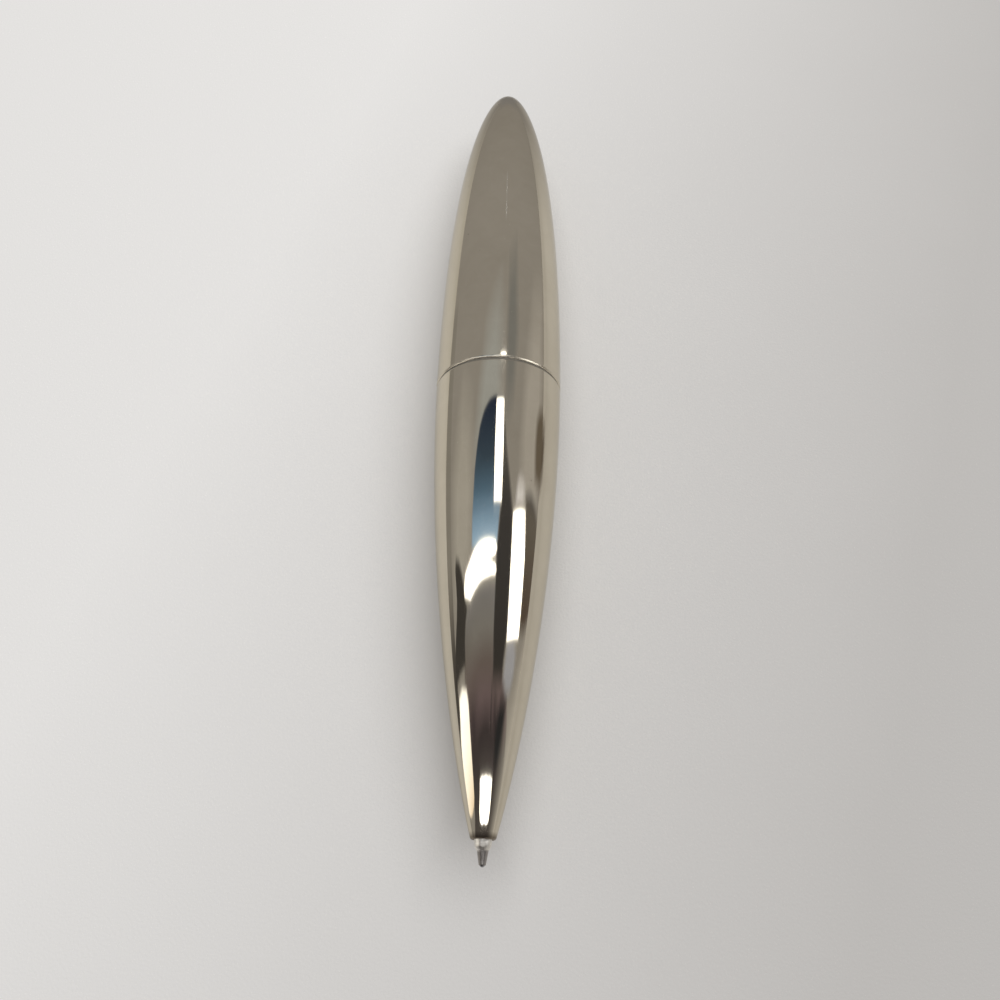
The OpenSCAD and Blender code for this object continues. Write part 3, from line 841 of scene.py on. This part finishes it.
def far_floor_reflection():
    """Sheet over the floor away from the pen that only the polish sees: a painted reflection, darker behind and on the
    left, paler in front on the right.
    """
    back, pale, left, right = (0.285, 0.275, 0.275), (0.54, 0.52, 0.485), (0.16, 0.15, 0.138), (0.48, 0.455, 0.43)
    around = [(0, (*back, 1.0)), (20, (*back, 0.9)), (42, (*back, 0.0)), (105, (*right, 0.0)), (130, (*right, 0.6)), (180, (*right, 0.9)),
              (235, (*left, 0.6)), (262, (*left, 0.45)), (274, (*left, 0.25)), (286, (*pale, 0.8)), (320, (*pale, 1.0)), (340, (*back, 0.9)), (360, (*back, 1.0))]
    out = [(0.020, 0.0), (0.030, 0.18), (0.040, 0.38), (0.055, 0.60), (0.075, 0.80), (0.11, 0.94), (0.16, 1.0), (0.5, 1.0), (2.4, 1.0)]
    count, verts, tones, faces = 72, [], [], []
    for d, alpha in out:
        for k in range(count):
            a = 360 * k / count
            stops = [(-deg, c) for deg, c in around]
            y = -0.010 + (d + 0.040) * math.cos(math.radians(a))
            verts.append((max(left_edge(y), d * math.sin(math.radians(a))), y, 0.0008))
            *tone, share = blend_stops(stops, -a)
            tones.append((*tone, alpha * share))
    for i in range(len(out) - 1):
        for k in range(count):
            m = (k + 1) % count
            faces.append((i * count + k, i * count + m, (i + 1) * count + m, (i + 1) * count + k))
    return glow("far_floor_reflection", verts, faces, tones)


def dark_low():
    """Foot of the dark things on the right, where they stand on the floor."""
    rows = [(0.080, 0.014, 0.040, 0.0), (0.110, 0.024, 0.052, 0.45), (0.150, 0.037, 0.074, 0.95), (0.300, 0.085, 0.155, 1.0), (0.860, 0.270, 0.455, 1.0)]
    share = (0.0, 0.7, 1.0, 1.0, 0.7, 0.0)
    verts, tones, faces = [], [], []
    for x, lo, hi, alpha in rows:
        for i, w in enumerate(share):
            verts.append((x, lo + (hi - lo) * i / 5, 0.0012))
            tones.append((0.135, 0.113, 0.092, alpha * w))
    for i in range(len(rows) - 1):
        faces += [(i * 6 + k, i * 6 + k + 1, i * 6 + k + 7, i * 6 + k + 6) for k in range(5)]
    return glow("dark_low", verts, faces, tones)


def low_haze():
    """Pale haze above the horizon in front on the right, as high as the second number, thinning upwards."""
    heights = [(86, 6), (90, 10), (94, 20), (97, 27), (100, 36), (106, 42), (112, 46), (125, 47), (150, 46), (172, 40)]
    rows, verts, tones, faces = 12, [], [], []
    turns = range(86, 173, 2)
    for az in turns:
        top = blend_stops([(-a, (h,)) for a, h in heights], -az)[0]
        ends = min(1.0, (az - 86) / 5, (172 - az) / 20)
        for i in range(rows + 1):
            f = i / rows
            verts.append(tuple(0.01 * v for v in at(az, -3 + (top + 3) * f, 57.0)))
            tones.append((0.60, 0.585, 0.565, 0.95 * ends * (1 - f) ** 1.25))
    for k in range(len(turns) - 1):
        for i in range(rows):
            c = k * (rows + 1) + i
            faces.append((c, c + 1, c + rows + 2, c + rows + 1))
    return glow("low_haze", verts, faces, tones)


def area(name, at, aim, size, power, colour=(1, 1, 1)):
    data = bpy.data.lights.new(name, "AREA")
    data.shape, data.size, data.energy, data.color = "DISK", size, power, colour
    ob = bpy.data.objects.new(name, data)
    scene.collection.objects.link(ob)
    ob.location = at
    ob.rotation_mode = "QUATERNION"
    ob.rotation_quaternion = (Vector(aim) - Vector(at)).to_track_quat("-Z", "Y")
    ob.visible_glossy = False
    return ob


floor()
far_floor_reflection()

world = bpy.data.worlds.new("studio")
scene.world = world
world.use_nodes = True
world.node_tree.nodes["Background"].inputs[0].default_value = (0.335, 0.322, 0.314, 1)
world.node_tree.nodes["Background"].inputs[1].default_value = 1.0

area("overhead", (0.18, 0.24, 1.0), (0, 0, 0), 1.4, 9.2)

WHITE, PEACH = (1.0, 1.0, 1.0), (1.0, 0.70, 0.50)


def at(azimuth, height, reach=80.0):
    """Corner of a card from its angle round from the tail's side, its angle above the floor and its distance."""
    a, h = math.radians(azimuth), math.radians(height)
    return (reach * math.cos(h) * math.sin(a), reach * math.cos(h) * math.cos(a), reach * math.sin(h))


# long bright tubes overhead and a window
card("strip_a", [(-1.3, 28.2, 54.5), (11.3, 28.3, 53.3), (13.3, 21.5, 55.7), (14.2, 14.6, 57.7), (-0.3, 14.5, 59.4), (-1.6, 21.4, 57.3)], WHITE, 3.5, 0.06)
card("strip_b", [(34.4, 14.1, 48.3), (50.9, 15.4, 28.9), (54.8, 9.6, 23.7), (57.0, 0.0, 20.4), (39.2, -2.7, 47.1), (36.6, 5.9, 48.5)], WHITE, 3.5, 0.06)
card("strip_c", [(-21.7, -21.1, 53.0), (-12.7, -20.9, 55.9), (3.9, -20.9, 57.2), (20.5, -20.7, 53.6), (30.5, -20.6, 48.7), (32.0, -22.9, 46.6), (32.4, -25.2, 45.1), (30.0, -27.1, 45.7), (3.5, -28.4, 53.9), (-23.5, -27.4, 49.1), (-25.6, -25.6, 49.0), (-22.6, -23.4, 51.6)], WHITE, 3.0, 0.06)
card("strip_d", [(-51.4, -6.6, 30.3), (-57.4, -5.0, 16.8), (-59.8, -4.7, 3.0), (-59.6, -7.0, -0.5), (-59.1, -8.5, -6.4), (-58.2, -10.2, -10.2), (-57.2, -12.0, -13.5), (-56.5, -13.3, -15.1), (-55.1, -13.9, -19.4), (-55.1, -15.3, -18.0), (-46.6, -22.2, 30.4), (-44.2, -21.6, 34.6), (-44.3, -19.2, 35.7), (-45.5, -16.5, 35.5), (-46.6, -13.8, 35.1), (-47.6, -11.3, 34.8), (-48.5, -8.7, 34.2)],
     [(-0.14, WHITE), (-0.28, (0.78, 0.73, 0.66)), (-0.40, (0.56, 0.43, 0.29))], 2.0, 0.10)
card("blob", [(-21.6, 10.1, 57.2), (-7.6, 10.2, 60.7), (6.4, 9.9, 60.9), (10.2, 8.8, 60.7), (6.6, 7.8, 61.2), (-6.0, 7.2, 61.3), (8.3, 6.7, 61.2), (10.6, 5.8, 60.9), (8.0, 5.1, 61.3), (-7.5, 4.8, 61.3), (-22.5, 4.5, 57.6), (-33.6, 3.8, 52.0), (-43.1, 2.9, 44.4), (-52.4, 4.2, 33.6), (-52.8, 5.4, 32.6), (-50.8, 7.0, 35.0), (-43.5, 8.2, 43.6), (-35.4, 9.4, 50.0)],
     WHITE, 3.0, 0.05)
card("blue_pane", [(-1.2, 32.0, 60.0), (-13.6, 31.5, 58.7), (-23.9, 29.9, 56.2), (-30.6, 27.9, 54.0), (-35.2, 25.1, 52.5), (-39.1, 21.7, 51.2), (-41.5, 17.6, 50.9), (-43.3, 14.8, 50.4), (-44.0, 10.5, 50.8), (-28.4, 9.2, 61.1), (10.3, 10.0, 66.5), (14.6, 17.0, 64.2), (16.1, 24.4, 61.5), (13.9, 32.0, 58.9)],
     [(0.46, (0.022, 0.030, 0.062)), (0.34, (0.052, 0.080, 0.120)), (0.27, (0.105, 0.185, 0.29)), (0.16, (0.40, 0.62, 0.92))], 1.0, 0.08)
card("glint_right", [(43.2, 21.3, 42.2), (49.4, 21.0, 35.2), (52.4, 19.7, 31.3), (53.4, 18.0, 30.6), (51.2, 16.0, 35.0), (38.4, 15.0, 48.8), (37.8, 16.9, 48.7), (38.3, 18.8, 47.8), (39.8, 20.3, 45.8)],
     [(0.33, (0.50, 0.49, 0.49)), (0.27, (0.85, 0.85, 0.92))], 1.0, 0.60)
card("glare_low", [(45.0, -1.0, 53.6), (60.0, 0.6, 36.2), (66.0, -1.0, 23.4), (66.0, -4.8, 23.0), (62.6, -8.6, 30.2), (51.8, -10.4, 46.0), (39.6, -8.6, 57.1), (42.4, -4.8, 55.5)], (0.42, 0.44, 0.52), 1.0, 0.45)

card("lamp", [(1.4, 31.50, 48.5), (2.2, 31.64, 48.3), (4.4, 31.74, 48.0), (9.2, 31.74, 47.2), (11.2, 31.64, 47.0), (12.0, 31.48, 46.8), (11.2, 31.32, 47.2), (7.0, 31.24, 48.2), (2.5, 31.32, 48.6)], WHITE, 6.0, 0.20)
low_haze()
dark_low()

# dark flags between them
card("dark_band", [(11.0, 30.6, 56.4), (19.6, 24.5, 57.1), (30.1, 19.2, 54.3), (37.7, 15.1, 50.7), (40.2, 7.3, 50.5), (42.8, -2.1, 49.2), (38.2, -9.3, 52.6), (13.0, -10.2, 62.9), (8.8, -3.4, 64.3), (8.6, 0.5, 64.4), (8.4, 5.0, 64.2), (8.6, 7.7, 63.9), (9.6, 10.5, 63.4), (11.8, 14.0, 62.4), (13.6, 17.5, 61.1), (14.0, 21.6, 59.7), (13.2, 25.7, 58.2)],
     [(0.42, (0.16, 0.155, 0.15)), (0.26, (0.062, 0.060, 0.063)), (-0.10, (0.050, 0.047, 0.047))], 1.0, 0.16)
card("dark_right", [(50.6, 18.6, 32.6), (56.4, 19.6, 20.5), (59.1, 18.8, 9.0), (60.1, 16.9, -2.0), (61.1, 14.1, -4.0), (62.0, 10.6, -5.0), (62.5, 7.0, -5.0), (62.7, 3.8, -3.0), (62.2, 1.4, 8.0), (59.6, 0.2, 20.5), (58.4, 2.7, 23.5), (57.4, 6.4, 25.0), (56.2, 10.1, 27.0), (53.8, 13.7, 29.7), (51.2, 16.7, 32.2)],
     [(0.31, (0.10, 0.098, 0.105)), (0.25, (0.155, 0.14, 0.125)), (0.05, (0.105, 0.080, 0.066))], 1.0, 0.25)
card("dark_streak", [(53.6, 29.8, 9.5), (54.0, 29.9, -8.0), (54.9, 28.2, -16.0), (55.8, 26.3, -16.0), (56.7, 24.6, -15.0), (57.6, 22.8, -13.0), (58.2, 20.8, -9.0), (58.8, 19.4, 4.8), (57.2, 19.4, 14.7), (56.2, 21.2, 17.2), (55.2, 22.9, 18.2), (54.3, 24.7, 18.4), (53.7, 26.5, 17.4), (53.1, 28.0, 15.8)],
     (0.160, 0.136, 0.110), 1.0, 0.40)
card("dark_left", [(-61.2, 11.9, 14.8), (-62.0, 10.6, 11.5), (-62.0, 8.5, 13.4), (-62.0, 6.1, 14.4), (-62.8, 4.0, 11.5), (-63.5, 2.3, 6.0), (-63.8, 0.7, 0.0), (-63.5, -2.8, -8.0), (-63.9, -3.6, 2.3), (-62.5, -3.8, 13.5), (-59.5, -4.2, 23.4), (-54.8, -4.4, 32.7), (-54.0, -1.1, 34.4), (-51.8, 1.3, 37.6), (-48.4, 2.6, 41.8), (-51.4, 4.1, 37.8), (-53.5, 6.3, 34.6), (-55.7, 8.6, 30.3), (-58.7, 10.9, 23.2)],
     (0.060, 0.057, 0.056), 1.0, 0.16)
card("front_shade", [(-62.5, 4.5, 43.5), (14.3, 6.4, 75.5), (26.0, -2.0, 72.8), (42.0, -5.5, 64.0), (52.0, -7.4, 55.0), (61.8, -9.2, 43.3), (67.2, -11.0, 33.8), (70.6, -13.5, 24.5), (72.6, -16.0, 16.0), (72.8, -19.0, 9.0), (71.8, -23.0, 8.0), (69.9, -27.0, 6.0), (60.0, -46.0, 3.0), (0.0, -75.0, 2.0), (-50.0, -56.0, 4.0), (-68.0, -30.0, 10.0), (-62.0, -28.8, 38.5), (-61.0, -21.8, 43.0), (-66.0, -15.4, 36.0), (-69.5, -8.0, 29.5), (-67.5, -1.9, 35.0)],
     [(0.06, (0.24, 0.24, 0.26)), (-0.02, (0.24, 0.235, 0.235)), (-0.06, (0.165, 0.145, 0.138)), (-0.165, (0.18, 0.138, 0.155)), (-0.20, (0.050, 0.041, 0.047)), (-0.46, (0.105, 0.096, 0.096))], 1.0, 0.04)
card("front_dark", [(33.6, -8.7, 46.4), (46.0, -7.5, 34.5), (49.0, -7.9, 30.0), (48.3, -9.8, 30.6), (48.1, -11.4, 30.4), (46.7, -13.6, 31.6), (45.0, -15.8, 33.0), (42.4, -17.8, 35.3), (34.3, -19.2, 42.6), (26.1, -18.4, 48.4), (24.1, -16.6, 50.1), (24.0, -14.7, 50.7), (24.0, -12.9, 51.2), (26.6, -10.9, 50.4)], (0.030, 0.031, 0.035), 1.0, 0.55)
card("tail_shade", [(-0.9, 8.4, 1.6), (0.9, 8.4, 1.6), (0.9, 8.4, 0.12), (-0.9, 8.4, 0.12)], (0.30, 0.295, 0.305), 1.0, 0.50)

# soft changes of the room's grey
card("low_left", [at(-50, -20, 86), at(-50, 1, 86), at(-70, 2, 86), at(-86, 2, 86), at(-98, 0, 86), at(-98, -18, 86), at(-75, -22, 86)],
     [(0.18, (0.285, 0.275, 0.262)), (0.10, (0.19, 0.18, 0.172)), (0.03, (0.085, 0.080, 0.078))], 1.0, 0.12)
card("side_glow_right", [at(46, 0, 86), at(44, 18, 86), at(48, 36, 86), at(58, 46, 86), at(72, 42, 86), at(84, 24, 86), at(86, 1, 86)],
     (0.46, 0.445, 0.435), 1.0, 0.50)
card("side_glow_left", [at(-54, 20, 86), at(-50, 40, 86), at(-60, 54, 86), at(-82, 52, 86), at(-92, 24, 86), at(-86, 2, 86), at(-70, 2, 86)],
     (0.47, 0.46, 0.445), 1.0, 0.60)
card("high_glow", [at(-64, 42, 84), at(-30, 44, 84), at(2, 45, 84), at(16, 50, 84), at(22, 60, 84), at(6, 74, 84), at(-40, 70, 84), at(-66, 56, 84)],
     (0.42, 0.44, 0.455), 1.0, 0.60)
card("high_shade", [at(12, 42), at(24, 34), at(40, 40), at(46, 52), at(36, 62), at(22, 62), at(14, 52)], (0.235, 0.24, 0.245), 1.0, 0.60)
